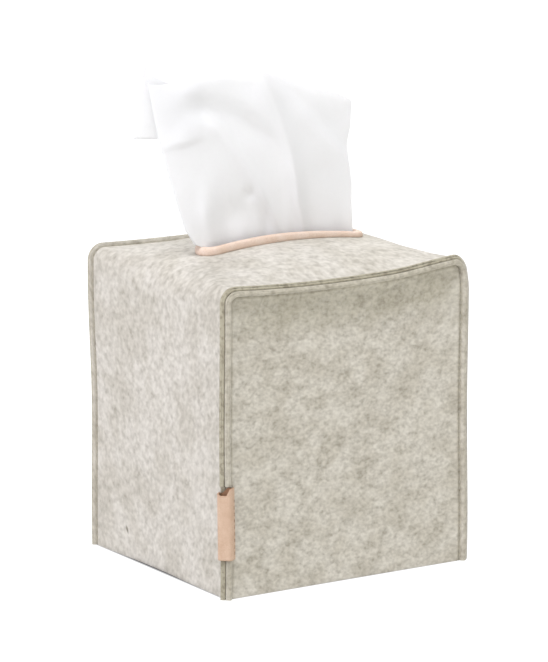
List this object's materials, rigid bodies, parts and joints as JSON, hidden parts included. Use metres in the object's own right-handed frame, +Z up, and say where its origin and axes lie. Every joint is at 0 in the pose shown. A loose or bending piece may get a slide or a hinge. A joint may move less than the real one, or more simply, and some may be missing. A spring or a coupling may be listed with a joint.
{
  "type": "tissue box cover",
  "caption": "Upright tissue box in a sewn wool felt cover with outward seams, a leather bound slot with a tissue drawn through it, and a leather tag on one seam.",
  "frame": {"origin": "on the table, under the middle of the cover, on the bottom of the carton", "axes": "+Z up, +X along the front panel from the tagged seam, -Y towards the front panel, the slot runs along X"},
  "size_m": [0.1345, 0.1234, 0.236],
  "materials": {
    "felt": "matte pressed wool, pale with darker fibres",
    "leather": "undyed vegetable tanned, matte",
    "card": "plain white-lined board",
    "tissue": "soft white tissue"
  },
  "bodies": {
    "root": {"felt_wrap": "felt", "front_panel": "felt", "back_panel": "felt", "slot_binding": "leather", "leather_tag": "leather", "tissue_carton": "card", "tissue_stack": "tissue", "drawn_tissue": "tissue"}
  },
  "joints": []
}
